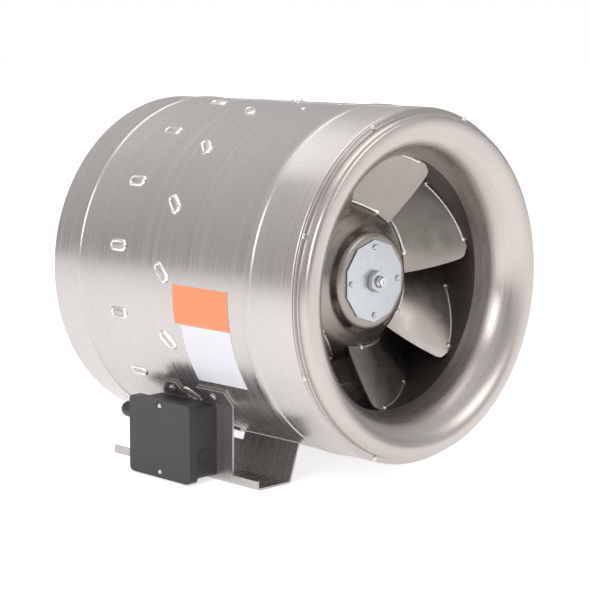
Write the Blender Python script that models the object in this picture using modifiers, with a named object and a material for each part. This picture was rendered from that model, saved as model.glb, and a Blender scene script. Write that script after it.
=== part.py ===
"""Inline mixed-flow duct fan: steel casing, bell mouth, spun impeller, guide vanes, motor, terminal box and feet.

Sizes are in metres and +Z is up. The fan's axis runs along Y and the bell mouth opens towards -Y.
Every piece is placed in fan coordinates, whose zero is on the axis in the middle of the casing, under
the empty "fan_axis". That empty puts the middle of the whole object's footprint at the world's origin.
"""
import math

import bmesh
import bpy
import numpy as np
from mathutils import Matrix, Vector

# ---- casing and bell mouth ----
CASING_R = 0.200            # outside of the duct collar
CASING_LENGTH = 0.400
FRONT_Y = -0.200            # casing's front edge
CASING_WALL = 0.0015
CASING_FLANGE = 0.012       # turned-in rim that carries the bell mouth
RIM_RADIUS = 0.002          # bend between casing and turned-in rim
BEAD_HEIGHT = 0.0012
BEAD_SLOPE = 0.0016
FRONT_BEAD_Y = -0.132
FRONT_BEAD_WIDTH = 0.0095
REAR_BEAD_INSET = 0.046     # from the casing's rear edge
REAR_BEAD_WIDTH = 0.0040
BELL_WALL = 0.0015
BELL_RING = 0.007           # width of the riveted ring outside the mouth
BELL_FORE = 0.0154          # the mouth's crest, in front of the casing
BELL_CORNER = 0.0055
THROAT_R = 0.1445
THROAT_Y = -0.162           # back edge of the throat
RING_STEPS = 36             # facets of every large turned piece

# ---- impeller ----
BLADE_COUNT = 7
BLADE_T = 0.0016
BLADE_END_Y = -0.033        # trailing edges
BLADE_ROOT_Y = -0.108       # leading edge at the hub
BLADE_TIP_Y = -0.149        # leading edge at the shroud
BLADE_SWEEP = 7.0           # degrees that the leading edge's tip is turned past its root
ROOT_WRAP = 75.0            # degrees of turn from leading to trailing edge
TIP_WRAP = 72.0
ROOT_BEND = 3.0             # how late the blade turns axial, at the hub and at the shroud
TIP_BEND = 1.62
BLADE_STATIONS = 10
HUB_WALL = 0.0020
HUB_FACE_R = 0.050
HUB_FRONT_R = 0.057
HUB_REAR_R = 0.104
HUB_REAR_Y = -0.030
SHROUD_WALL = 0.0015
SHROUD_CLEAR = 0.0040       # round the throat
SHROUD_FLARE = 0.0375
SHROUD_FRONT_Y = -0.1655
PLATE_FACE_Y = -0.1336      # front of the hub's cover plate
PLATE_T = 0.0016
PLATE_CORNER_R = 0.0475
PLATE_SIDES = 10
PLATE_SCREW_CIRCLE_R = 0.039
PLATE_SCREW_COUNT = 4

# ---- guide vanes and motor housing ----
VANE_COUNT = 16
VANE_PHASE = 11.4           # degrees from +X to the first vane
VANE_T = 0.0020
VANE_FRONT_Y = -0.008
VANE_REAR_Y = 0.104
VANE_STRAIGHT_Y = 0.0594    # behind this the vanes run along the axis
VANE_CURVE = 1.744          # radians of turn per casing radius squared, ahead of that
FRONT_TAB = (-0.0036, 0.0174)
REAR_TAB = (0.0702, 0.0992)
TAB_PROUD = 0.0010          # tab's end above the casing
SLOT_CLEAR = 0.0004
HOUSING_WALL = 0.0015
HOUSING_FRONT_Y = -0.024
HOUSING_REAR_Y = 0.106
COVER_T = 0.0020
SUPPORT_T = 0.0030
SUPPORT_Y = 0.008           # front face of the motor's support plate

# ---- motor ----
SHAFT_R = 0.008
STUD_R = 0.0062
STUD_END_Y = -0.145
SHAFT_END_Y = -0.010
BEARING_R = 0.0170
BEARING_WIDTH = 0.012
BEARING_YS = (-0.084, -0.022)
CORE_R = 0.0560
CORE_FRONT_Y = -0.098
CORE_FLANGE_R = 0.066
CORE_FLANGE_T = 0.008
AIR_GAP = 0.0010
CAN_WALL = 0.0030
CAN_FACE_R = 0.044
CAN_SHOULDER_Y = -0.114
CAN_REAR_Y = -0.016
NUT_FLATS = 0.0225
NUT_T = 0.0068

# ---- terminal box, on the left foot ----
BOX_Y = 0.017               # middle of the box along the fan
BOX_RISE = 0.0472           # middle of the box above the floor
BOX_WIDTH = 0.0970
BOX_HEIGHT = 0.0830
BOX_WALL = 0.0028
BOX_DEPTH = 0.045           # from the middle of the foot's wall to the lid's outer face
LID_DEPTH = 0.0120
LID_T = 0.0032
LID_OVER = 0.0035           # lid's edge past the box, on each side
GASKET_T = 0.0012
LID_SCREW_INSET = 0.0032    # from the box's edge to the lid screw's middle
LID_RECESS = 0.0021         # depth that the lid screws' heads are sunk
LID_SCREW_LENGTH = 0.016
POST_HALF = 0.0045          # half the width of the posts that the lid screws run into
GLAND_R = 0.0096
GLAND_BORE_R = 0.0042
GLAND_LENGTH = 0.0440
PLUG_R = 0.0062
PLUG_LENGTH = 0.0240
CAPACITOR_R = 0.0100

# ---- feet ----
FOOT_T = 0.0024
FLOOR_CLEAR = 0.0252        # from the casing's underside down to the floor
FOOT_SPREAD = 0.75          # middle of the outer wall's sheet, as a share of the casing's radius
FOOT_WIDTH = 0.0496         # between the middles of the outer and inner walls' sheets, at the floor
FOOT_LEAN = 19.0            # degrees that the inner wall leans
FOOT_FRONT_Y = -0.099
FOOT_REAR_Y = 0.151
WALL_HALF = 0.058           # half the length of the outer wall
LIP_HEIGHT = 0.0096
BEND_R = 0.0034
SEAT_ANGLE = 218.5          # degrees round the casing to the middle of the left foot's flange
SEAT_LENGTH = 0.0224
TAB_GAP_Y = (-0.011, 0.018)  # break in the flange and inner wall, round a guide vane's tab
TAB_GAP_SLANT = 0.006
NOTCH_DEPTH = 0.0100
FOOT_SCREW_Y = 0.034

# ---- motor lead ----
LEAD_R = 0.0035
LEAD_Y = 0.040
LEAD_ANGLE = 229.0          # degrees round the casing to the hole that it goes in by
LEAD_REACH = 0.0094         # how far the lead stands into the box

# ---- fits ----
GAP = 0.0003                # between pieces that touch
HOLE_CLEAR = 0.0004         # round a screw, stud or lead
SCREW_R = 0.0018
SCREW_HEAD_R = 0.0034
SCREW_HEAD_T = 0.0018
SAG = 1.0 - math.cos(math.pi / RING_STEPS)   # how far a large facet's middle lies inside its circle

REAR_Y = FRONT_Y + CASING_LENGTH
REAR_BEAD_Y = REAR_Y - REAR_BEAD_INSET
BELL_LIP_R = CASING_R - BELL_RING
SHROUD_INLET_R = THROAT_R + SHROUD_CLEAR
SHROUD_REAR_R = SHROUD_INLET_R + SHROUD_FLARE
FOOT_DROP = CASING_R + FLOOR_CLEAR
FOOT_OUT_X = FOOT_SPREAD * CASING_R
FOOT_IN_X = FOOT_OUT_X - FOOT_WIDTH
BOX_FRONT_X = -FOOT_OUT_X - BOX_DEPTH
BOX_Z = BOX_RISE - FOOT_DROP
HOUSING_R = HUB_REAR_R
LEAD_INNER_R = HOUSING_R - 0.010
LEAD_OUTER_R = (FOOT_OUT_X + LEAD_REACH) / abs(math.cos(math.radians(LEAD_ANGLE)))
FOOT_SIDES = {"left": 1.0, "right": -1.0}    # +1 keeps -X, -1 mirrors to +X

for old in list(bpy.data.objects):
    bpy.data.objects.remove(old)
parts = bpy.data.collections.new("duct_fan")
cutters = bpy.data.collections.new("cutters")
bpy.context.scene.collection.children.link(parts)
bpy.context.scene.collection.children.link(cutters)


def make_empty(name, location):
    """An axis that pieces are parented to."""
    empty = bpy.data.objects.new(name, None)
    empty.location = location
    parts.objects.link(empty)
    return empty


fan_axis = make_empty("fan_axis", (0.0, -(FRONT_Y - BELL_FORE + REAR_Y) / 2, FOOT_DROP))
rotor_axis = make_empty("rotor_axis", (0.0, 0.0, 0.0))
rotor_axis.parent = fan_axis


def material(name, rgb, roughness, metallic):
    mat = bpy.data.materials.new(name)
    mat.use_nodes = True
    shader = mat.node_tree.nodes["Principled BSDF"]
    shader.inputs["Base Color"].default_value = (*rgb, 1.0)
    shader.inputs["Roughness"].default_value = roughness
    shader.inputs["Metallic"].default_value = metallic
    return mat


FINISHES = {
    "steel": ((0.49, 0.47, 0.45), 0.35, 0.9),
    "galvanised": ((0.55, 0.58, 0.60), 0.40, 0.9),
    "bright_steel": ((0.70, 0.70, 0.69), 0.25, 1.0),
    "copper_winding": ((0.45, 0.20, 0.09), 0.45, 0.6),
    "cast_alloy": ((0.42, 0.43, 0.44), 0.50, 0.8),
    "black_plastic": ((0.055, 0.053, 0.052), 0.50, 0.0),
    "grey_plastic": ((0.32, 0.33, 0.34), 0.50, 0.0),
    "white_plastic": ((0.75, 0.74, 0.70), 0.45, 0.0),
    "black_rubber": ((0.020, 0.020, 0.020), 0.70, 0.0),
}


def add(name, mesh, finish, parent=fan_axis):
    """A sub-part's object, with a material of its own."""
    obj = bpy.data.objects.new(name, mesh)
    obj.parent = parent
    mesh.materials.append(material(f"{name}_finish", *FINISHES[finish]))
    parts.objects.link(obj)
    return obj


def add_cutter(name, mesh):
    obj = bpy.data.objects.new(name, mesh)
    obj.parent = fan_axis
    obj.hide_render = True
    obj.display_type = "WIRE"
    cutters.objects.link(obj)
    return obj


def cut(obj, cutter, operation="DIFFERENCE"):
    boolean = obj.modifiers.new(cutter.name, "BOOLEAN")
    boolean.object = cutter
    boolean.operation = operation
    boolean.solver = "EXACT"


def sheet(obj, thickness, offset=-1.0):
    solid = obj.modifiers.new("sheet", "SOLIDIFY")
    solid.thickness = thickness
    solid.offset = offset
    solid.use_even_offset = True


def round_edges(obj, width, segments=2):
    bevel = obj.modifiers.new("edges", "BEVEL")
    bevel.width = width
    bevel.segments = segments
    bevel.limit_method = "ANGLE"
    bevel.angle_limit = math.radians(40)


def mesh_of(bm, name, smooth=30):
    mesh = bpy.data.meshes.new(name)
    bm.to_mesh(mesh)
    bm.free()
    mesh.shade_smooth()
    mesh.set_sharp_from_angle(angle=math.radians(smooth))
    return mesh


def arc(centre, radius, start, end, count):
    """Points on a circle, from one angle in degrees to another."""
    angles = np.radians(np.linspace(start, end, count + 1))
    return [(centre[0] + radius * math.cos(a), centre[1] + radius * math.sin(a)) for a in angles]


def turned(name, profile, finish, wall=0.0, closed=False, steps=RING_STEPS, parent=fan_axis):
    """Spin (radius, y) points about the fan's axis. Points run towards +Y on an outer side."""
    count = len(profile)
    edges = [(i, i + 1) for i in range(count - 1)]
    if closed:
        edges.append((count - 1, 0))
    mesh = bpy.data.meshes.new(name)
    mesh.from_pydata([(radius, 0.0, -y) for radius, y in profile], edges, [])
    obj = add(name, mesh, finish, parent)
    obj.rotation_euler = (math.pi / 2, 0.0, 0.0)
    screw = obj.modifiers.new("turn", "SCREW")
    screw.steps = steps
    screw.render_steps = steps
    screw.use_merge_vertices = True
    screw.merge_threshold = 0.00001
    if wall:
        sheet(obj, wall)
    return obj


def round_ring(name, inner_r, outer_r, front_y, rear_y, finish, steps=RING_STEPS, parent=fan_axis):
    profile = [(outer_r, front_y), (outer_r, rear_y), (inner_r, rear_y), (inner_r, front_y)]
    return turned(name, profile, finish, closed=True, steps=steps, parent=parent)


def rod_mesh(bm, radius, start, end, steps=16):
    """A closed cylinder between two points, in an open bmesh."""
    start = Vector(start)
    along = Vector(end) - start
    turn = along.to_track_quat("Z", "Y").to_matrix().to_4x4()
    place = Matrix.Translation(start + along / 2) @ turn
    bmesh.ops.create_cone(bm, cap_ends=True, segments=steps, radius1=radius, radius2=radius,
                          depth=along.length, matrix=place)


def around(angle, radius, y):
    """A point in fan coordinates, from degrees round the axis, a radius and a place along it."""
    turn = math.radians(angle)
    return Vector((radius * math.cos(turn), y, radius * math.sin(turn)))


# ---- casing and bell mouth ----
def bead(middle, width):
    half = width / 2
    return [(CASING_R, middle - half - BEAD_SLOPE), (CASING_R + BEAD_HEIGHT, middle - half),
            (CASING_R + BEAD_HEIGHT, middle + half), (CASING_R, middle + half + BEAD_SLOPE)]


def build_casing():
    corner = arc((CASING_R - RIM_RADIUS, FRONT_Y + RIM_RADIUS), RIM_RADIUS, -90, 0, 2)
    profile = [(CASING_R - CASING_FLANGE, FRONT_Y)] + corner
    profile += bead(FRONT_BEAD_Y, FRONT_BEAD_WIDTH) + bead(REAR_BEAD_Y, REAR_BEAD_WIDTH)
    profile += [(CASING_R, REAR_Y)]
    casing = turned("casing_shell", profile, "steel", wall=CASING_WALL)
    cut(casing, build_slot_cutter())
    cut(casing, foot_holes)
    cut(casing, lead_holes)


def bell_profile():
    """The mouth's visible side, from the throat out over the crest to the riveted ring."""
    crest_y = FRONT_Y - BELL_FORE
    start_r = BELL_LIP_R - BELL_CORNER - 0.004
    points = []
    for turn in np.linspace(math.pi / 2, 0.0, 8):
        radius = start_r - (start_r - THROAT_R) * math.sin(turn)
        y = crest_y + (THROAT_Y - crest_y) * (1.0 - math.cos(turn))
        points.append((radius, y))
    points += arc((BELL_LIP_R - BELL_CORNER, crest_y + BELL_CORNER), BELL_CORNER, -90, 0, 3)
    ring_y = FRONT_Y - GAP - BELL_WALL
    points += [(BELL_LIP_R, ring_y), (CASING_R - 0.0008, ring_y)]
    return points


# ---- impeller ----
HUB_FLARE = ((0.0603, -0.1200), (0.2439, -0.1140), (0.4427, -0.1080), (0.6242, -0.1000), (0.8056, -0.0870),
             (0.9352, -0.0680))


def hub_profile():
    """The hub's outside, from its front face back to the motor housing."""
    face_y = PLATE_FACE_Y + PLATE_T + GAP
    shoulder = arc((HUB_FACE_R, face_y + 0.0085), 0.0085, -90, -25, 2)
    foot_r = shoulder[-1][0]
    flare = [(lerp(foot_r, HUB_REAR_R, share), y) for share, y in HUB_FLARE]
    return [(STUD_R + HOLE_CLEAR, face_y)] + shoulder + flare + [(HUB_REAR_R, HUB_REAR_Y)]


SHROUD_CURVE = ((0.6667, -0.0590), (0.3333, -0.0880), (0.1253, -0.1140), (0.0, -0.1480))


def shroud_profile():
    """The shroud's inside, from its rear edge forward to the inlet."""
    flare = [(SHROUD_INLET_R + SHROUD_FLARE * share, y) for share, y in SHROUD_CURVE]
    return [(SHROUD_REAR_R, HUB_REAR_Y)] + flare + [(SHROUD_INLET_R, SHROUD_FRONT_Y)]


def radius_at(profile, y):
    points = sorted((point[1], point[0]) for point in profile)
    return float(np.interp(y, [p[0] for p in points], [p[1] for p in points]))


def lerp(start, end, part):
    return start + (end - start) * part


def grid_sheet(columns, rows, place):
    """A bmesh grid whose vertices go where place(column, row) says."""
    bm = bmesh.new()
    bmesh.ops.create_grid(bm, x_segments=columns, y_segments=rows, size=0.5)
    for vert in bm.verts:
        column = round((vert.co.x + 0.5) * columns)
        row = round((vert.co.y + 0.5) * rows)
        vert.co = place(column, row)
    return bm


BLADE_ROWS = 3
ROOT_CLEAR = 0.0014
TIP_CLEAR = 0.0010


def blade_point(turn, column, row):
    chord = column / BLADE_STATIONS
    span = row / BLADE_ROWS
    root_y = lerp(BLADE_ROOT_Y, BLADE_END_Y, chord ** ROOT_BEND)
    tip_y = lerp(BLADE_TIP_Y, BLADE_END_Y, chord ** TIP_BEND)
    root_r = radius_at(hub_profile()[3:], root_y) + ROOT_CLEAR
    tip_r = radius_at(shroud_profile(), tip_y) - TIP_CLEAR
    angle = lerp(ROOT_WRAP * chord, BLADE_SWEEP + TIP_WRAP * chord, span)
    return around(turn + angle, lerp(root_r, tip_r, span), lerp(root_y, tip_y, span))


def build_impeller():
    hub = turned("impeller_hub", hub_profile(), "steel", wall=HUB_WALL, parent=rotor_axis)
    cut(hub, plate_holes)
    turned("impeller_shroud", shroud_profile(), "steel", wall=SHROUD_WALL, parent=rotor_axis)
    for number in range(BLADE_COUNT):
        turn = number * 360.0 / BLADE_COUNT
        bm = grid_sheet(BLADE_STATIONS, BLADE_ROWS, lambda column, row: blade_point(turn, column, row))
        name = f"impeller_blade_{number + 1}"
        blade = add(name, mesh_of(bm, name), "steel", rotor_axis)
        sheet(blade, BLADE_T, offset=0.0)


def build_cover_plate():
    bm = bmesh.new()
    place = Matrix.Translation((0.0, PLATE_FACE_Y + PLATE_T / 2, 0.0)) @ Matrix.Rotation(math.pi / 2, 4, "X")
    bmesh.ops.create_cone(bm, cap_ends=True, segments=PLATE_SIDES, radius1=PLATE_CORNER_R,
                          radius2=PLATE_CORNER_R, depth=PLATE_T, matrix=place)
    plate = add("hub_cover_plate", mesh_of(bm, "hub_cover_plate"), "galvanised", rotor_axis)
    cut(plate, plate_holes)
    stud_hole = bmesh.new()
    rod_mesh(stud_hole, STUD_R + HOLE_CLEAR, (0.0, PLATE_FACE_Y - 0.002, 0.0),
             (0.0, PLATE_FACE_Y + PLATE_T + 0.001, 0.0), steps=16)
    cut(plate, add_cutter("stud_hole", mesh_of(stud_hole, "stud_hole")))


def plate_screw_places():
    step = 360.0 / PLATE_SCREW_COUNT
    return [around(number * step, PLATE_SCREW_CIRCLE_R, 0.0) for number in range(PLATE_SCREW_COUNT)]


def screw_along(name, seat, into, length, finish, parent, head_r=SCREW_HEAD_R, shank_r=SCREW_R):
    """A round-headed screw whose head sits a gap above a seat and whose shank runs the way it goes in."""
    turn = Vector(into).to_track_quat("Z", "Y")
    head_y = -GAP - SCREW_HEAD_T
    profile = [(0.0, head_y), (head_r * 0.72, head_y), (head_r, head_y + SCREW_HEAD_T * 0.55), (head_r, -GAP),
               (shank_r, -GAP), (shank_r, length), (0.0, length)]
    mesh = bpy.data.meshes.new(name)
    edges = [(i, i + 1) for i in range(len(profile) - 1)]
    mesh.from_pydata([(radius, 0.0, depth) for radius, depth in reversed(profile)], edges, [])
    screw_obj = add(name, mesh, finish, parent)
    screw_obj.location = seat
    screw_obj.rotation_mode = "QUATERNION"
    screw_obj.rotation_quaternion = turn
    screw = screw_obj.modifiers.new("turn", "SCREW")
    screw.steps = 8
    screw.render_steps = 8
    screw.use_merge_vertices = True
    screw.merge_threshold = 0.00001


def build_hub_fasteners():
    for number, place in enumerate(plate_screw_places()):
        seat = place + Vector((0.0, PLATE_FACE_Y, 0.0))
        screw_along(f"plate_screw_{number + 1}", seat, (0, 1, 0), 0.009, "galvanised", rotor_axis)
    nut_y = PLATE_FACE_Y - GAP - NUT_T / 2
    bm = bmesh.new()
    corner = NUT_FLATS / 2 / math.cos(math.pi / 6)
    place = Matrix.Translation((0.0, nut_y, 0.0)) @ Matrix.Rotation(math.pi / 2, 4, "X")
    bmesh.ops.create_cone(bm, cap_ends=True, segments=6, radius1=corner, radius2=corner, depth=NUT_T, matrix=place)
    nut = add("shaft_nut", mesh_of(bm, "shaft_nut"), "galvanised", rotor_axis)
    bore = bmesh.new()
    rod_mesh(bore, STUD_R + HOLE_CLEAR, (0.0, nut_y - NUT_T, 0.0), (0.0, nut_y + NUT_T, 0.0), steps=16)
    cut(nut, add_cutter("nut_bore", mesh_of(bore, "nut_bore")))
    round_edges(nut, 0.0006, 1)


# ---- guide vanes and their housing ----
def vane_turn(y):
    """Radians that a vane is turned at a place along the axis."""
    ahead = max(0.0, VANE_STRAIGHT_Y - y) / CASING_R
    return VANE_CURVE * ahead * ahead


def vane_point(number, y, radius):
    angle = VANE_PHASE + number * 360.0 / VANE_COUNT + math.degrees(vane_turn(y))
    return around(angle, radius, y)


def vane_stations():
    middle = list(np.linspace(FRONT_TAB[1], REAR_TAB[0], 5))
    return [VANE_FRONT_Y, FRONT_TAB[0], sum(FRONT_TAB) / 2] + middle + [REAR_TAB[1], VANE_REAR_Y]


def in_tab(y_start, y_end):
    middle = (y_start + y_end) / 2
    return any(tab[0] < middle < tab[1] for tab in (FRONT_TAB, REAR_TAB))


def build_vane(number):
    stations = vane_stations()
    inner_r = HOUSING_R + GAP
    outer_r = (CASING_R - CASING_WALL) * (1.0 - SAG) - GAP

    def place(column, row):
        return vane_point(number, stations[column], lerp(inner_r, outer_r, row / 2))

    bm = grid_sheet(len(stations) - 1, 2, place)
    tab_edges = []
    for edge in bm.edges:
        ends = [vert.co for vert in edge.verts]
        outer = all(math.hypot(co.x, co.z) > outer_r - 0.0001 for co in ends)
        if outer and in_tab(ends[0].y, ends[1].y):
            tab_edges.append(edge)
    grown = bmesh.ops.extrude_edge_only(bm, edges=tab_edges)
    lift = (CASING_R + TAB_PROUD) / outer_r
    for vert in grown["geom"]:
        if isinstance(vert, bmesh.types.BMVert):
            vert.co = (vert.co.x * lift, vert.co.y, vert.co.z * lift)
    name = f"guide_vane_{number + 1:02d}"
    vane = add(name, mesh_of(bm, name), "steel")
    sheet(vane, VANE_T, offset=0.0)


def build_slot_cutter():
    """One strip for every tab's slot in the casing, wider than the tab by its clearance."""
    bm = bmesh.new()
    for number in range(VANE_COUNT):
        for start, end in (FRONT_TAB, REAR_TAB):
            ys = (start - SLOT_CLEAR, (start + end) / 2, end + SLOT_CLEAR)
            low = [bm.verts.new(vane_point(number, y, CASING_R - 4 * CASING_WALL)) for y in ys]
            high = [bm.verts.new(vane_point(number, y, CASING_R + 4 * CASING_WALL)) for y in ys]
            for i in range(len(ys) - 1):
                bm.faces.new((low[i], low[i + 1], high[i + 1], high[i]))
    cutter = add_cutter("vane_slots", mesh_of(bm, "vane_slots"))
    sheet(cutter, VANE_T + 2 * SLOT_CLEAR, offset=0.0)
    return cutter


def build_housing():
    profile = [(HOUSING_R, HOUSING_FRONT_Y), (HOUSING_R, HOUSING_REAR_Y)]
    housing = turned("motor_housing", profile, "steel", wall=HOUSING_WALL)
    inner_r = (HOUSING_R - HOUSING_WALL) * (1.0 - SAG) - GAP
    cover_y = HOUSING_REAR_Y - 0.004
    profile = [(0.0, cover_y - COVER_T), (inner_r, cover_y - COVER_T), (inner_r, cover_y), (0.0, cover_y)]
    turned("housing_rear_cover", profile, "steel")
    round_ring("motor_support_plate", SHAFT_R + 0.012, inner_r, SUPPORT_Y, SUPPORT_Y + SUPPORT_T, "galvanised")
    cut(housing, lead_holes)


# ---- motor ----
def build_motor():
    bore_r = BEARING_R + GAP
    rear_y = SUPPORT_Y - GAP
    flange_y = rear_y - CORE_FLANGE_T
    core = [(CORE_R, CORE_FRONT_Y), (CORE_R, flange_y), (CORE_FLANGE_R, flange_y), (CORE_FLANGE_R, rear_y),
            (bore_r, rear_y), (bore_r, CORE_FRONT_Y)]
    turned("motor_stator", core, "copper_winding", closed=True, steps=32)
    for name, middle in zip(("front_bearing", "rear_bearing"), BEARING_YS):
        round_ring(name, SHAFT_R + GAP, BEARING_R, middle - BEARING_WIDTH / 2, middle + BEARING_WIDTH / 2,
                   "bright_steel", steps=24)
    can_face_y = PLATE_FACE_Y + PLATE_T + HUB_WALL + 2 * GAP
    can_r = CORE_R + AIR_GAP + CAN_WALL
    can = turned("rotor_can", [(STUD_R + HOLE_CLEAR, can_face_y), (CAN_FACE_R, can_face_y),
                               (can_r, CAN_SHOULDER_Y), (can_r, CAN_REAR_Y)],
                 "cast_alloy", wall=CAN_WALL, steps=32, parent=rotor_axis)
    cut(can, plate_holes)
    shoulder_y = can_face_y + CAN_WALL + GAP
    shaft = [(0.0, STUD_END_Y), (STUD_R - 0.0010, STUD_END_Y), (STUD_R, STUD_END_Y + 0.0010),
             (STUD_R, shoulder_y), (SHAFT_R, shoulder_y), (SHAFT_R, SHAFT_END_Y), (0.0, SHAFT_END_Y)]
    turned("motor_shaft", shaft, "bright_steel", steps=24, parent=rotor_axis)


# ---- feet ----
def fillet(before, corner, after, radius, count=3):
    """Points round a bend in a folded sheet."""
    corner = Vector(corner)
    back = (Vector(before) - corner).normalized()
    ahead = (Vector(after) - corner).normalized()
    half = math.acos(back.dot(ahead)) / 2
    reach = radius / math.tan(half)
    middle = corner + (back + ahead).normalized() * radius / math.sin(half)
    start = corner + back * reach - middle
    end = corner + ahead * reach - middle
    turn = start.angle_signed(end)
    points = []
    for i in range(count + 1):
        spin = Matrix.Rotation(-turn * i / count, 2)
        points.append(tuple(middle + spin @ start))
    return points


def foot_corners():
    """Corners of the left foot's sheet, seen along the fan, from the flange's end to the inner wall's top."""
    floor_z = -FOOT_DROP + FOOT_T / 2
    out = Vector((math.cos(math.radians(SEAT_ANGLE)), math.sin(math.radians(SEAT_ANGLE))))
    seat_r = CASING_R + GAP + FOOT_T / 2
    wall_top_z = (seat_r + FOOT_OUT_X * out.x) / out.y
    wall_top = Vector((-FOOT_OUT_X, wall_top_z))
    flange_end = wall_top + Vector((out.y, -out.x)) * SEAT_LENGTH
    lean = Vector((math.sin(math.radians(FOOT_LEAN)), math.cos(math.radians(FOOT_LEAN))))
    base_in = Vector((-FOOT_IN_X, floor_z))
    end_r = CASING_R + GAP + 0.0002
    along = -base_in.dot(lean) - math.sqrt(base_in.dot(lean) ** 2 - base_in.dot(base_in) + end_r ** 2)
    inner_top = base_in + lean * along
    return {
        "flange_end": flange_end,
        "wall_top": wall_top,
        "outer_lip": Vector((-FOOT_OUT_X, floor_z + LIP_HEIGHT)),
        "base_out": Vector((-FOOT_OUT_X, floor_z)),
        "base_in": base_in,
        "inner_lip": base_in + lean * LIP_HEIGHT,
        "notch": base_in + lean * (along - NOTCH_DEPTH),
        "inner_top": inner_top,
    }


def build_foot(side_name, side):
    c = foot_corners()
    path = [("flange", c["flange_end"])]
    path += [("flange", p) for p in fillet(c["flange_end"], c["wall_top"], c["outer_lip"], BEND_R)]
    path += [("wall", c["outer_lip"])]
    path += [("base", p) for p in fillet(c["outer_lip"], c["base_out"], c["base_in"], BEND_R)]
    path += [("base", p) for p in fillet(c["base_out"], c["base_in"], c["inner_lip"], BEND_R)]
    path += [("base", c["inner_lip"]), ("inner", c["notch"]), ("notch", c["inner_top"])]
    stations = [FOOT_FRONT_Y, -WALL_HALF, TAB_GAP_Y[0], TAB_GAP_Y[1], WALL_HALF, FOOT_REAR_Y]

    def place(column, row):
        x, z = path[column][1]
        y = stations[row]
        if column == 0 and y == TAB_GAP_Y[1]:
            y += TAB_GAP_SLANT
        return (x * side, y, z)

    def kept(column, row):
        kind = path[column + 1][0]
        front, rear = stations[row], stations[row + 1]
        at_gap = front >= TAB_GAP_Y[0] and rear <= TAB_GAP_Y[1]
        if kind in ("flange", "notch") and at_gap:
            return False
        if kind in ("flange", "wall"):
            return front >= -WALL_HALF and rear <= WALL_HALF
        if kind in ("inner", "notch"):
            return rear <= WALL_HALF
        return True

    columns, rows = len(path) - 1, len(stations) - 1
    bm = bmesh.new()
    verts = [[bm.verts.new(place(i, j)) for j in range(rows + 1)] for i in range(columns + 1)]
    for i in range(columns):
        for j in range(rows):
            if kept(i, j):
                bm.faces.new((verts[i][j], verts[i + 1][j], verts[i + 1][j + 1], verts[i][j + 1]))
    loose = [vert for vert in bm.verts if not vert.link_faces]
    bmesh.ops.delete(bm, geom=loose, context="VERTS")
    bmesh.ops.recalc_face_normals(bm, faces=bm.faces)
    name = f"{side_name}_foot"
    foot = add(name, mesh_of(bm, name), "steel")
    sheet(foot, FOOT_T, offset=0.0)
    cut(foot, foot_holes)
    if side_name == "left":
        cut(foot, lead_holes)


def foot_screw_places():
    """Seats of the screws that hold each foot's flange to the casing, with the way in."""
    places = []
    for side_name, side in FOOT_SIDES.items():
        inward = -around(SEAT_ANGLE, 1.0, 0.0)
        inward.x *= side
        for end_name, y in (("front", -FOOT_SCREW_Y), ("rear", FOOT_SCREW_Y)):
            seat = -inward * (CASING_R + GAP + FOOT_T) + Vector((0.0, y, 0.0))
            places.append((f"{side_name}_foot_screw_{end_name}", seat, inward))
    return places


def build_foot_screws():
    for name, seat, inward in foot_screw_places():
        screw_along(name, seat, inward, 0.010, "galvanised", fan_axis, head_r=0.0046, shank_r=0.0024)


# ---- terminal box ----
BOX_BACK_X = -FOOT_OUT_X - FOOT_T / 2 - GAP
LID_BACK_X = BOX_FRONT_X + LID_DEPTH
BODY_FRONT_X = BOX_FRONT_X + LID_T + GASKET_T + 2 * GAP


def box_mesh(low, high, name, open_side=None, edge=0.0):
    """A box between two corners, with its corners along X rounded and one side left open."""
    bm = bmesh.new()
    bmesh.ops.create_cube(bm, size=1.0)
    low, high = Vector(low), Vector(high)
    for vert in bm.verts:
        vert.co = [lerp(low[i], high[i], vert.co[i] + 0.5) for i in range(3)]
    if edge:
        along = [e for e in bm.edges if abs(e.verts[0].co.x - e.verts[1].co.x) > 0.001]
        bmesh.ops.bevel(bm, geom=along, offset=edge, segments=3, affect="EDGES", profile=0.5)
    if open_side is not None:
        bm.faces.ensure_lookup_table()
        face = min(bm.faces, key=lambda f: f.calc_center_median().x * open_side)
        bmesh.ops.delete(bm, geom=[face], context="FACES_ONLY")
    bmesh.ops.recalc_face_normals(bm, faces=bm.faces)
    return mesh_of(bm, name)


def lid_screw_places():
    reach = BOX_HEIGHT / 2 - LID_SCREW_INSET
    return [Vector((BOX_FRONT_X, BOX_Y, BOX_Z + reach)), Vector((BOX_FRONT_X, BOX_Y, BOX_Z - reach))]


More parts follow.
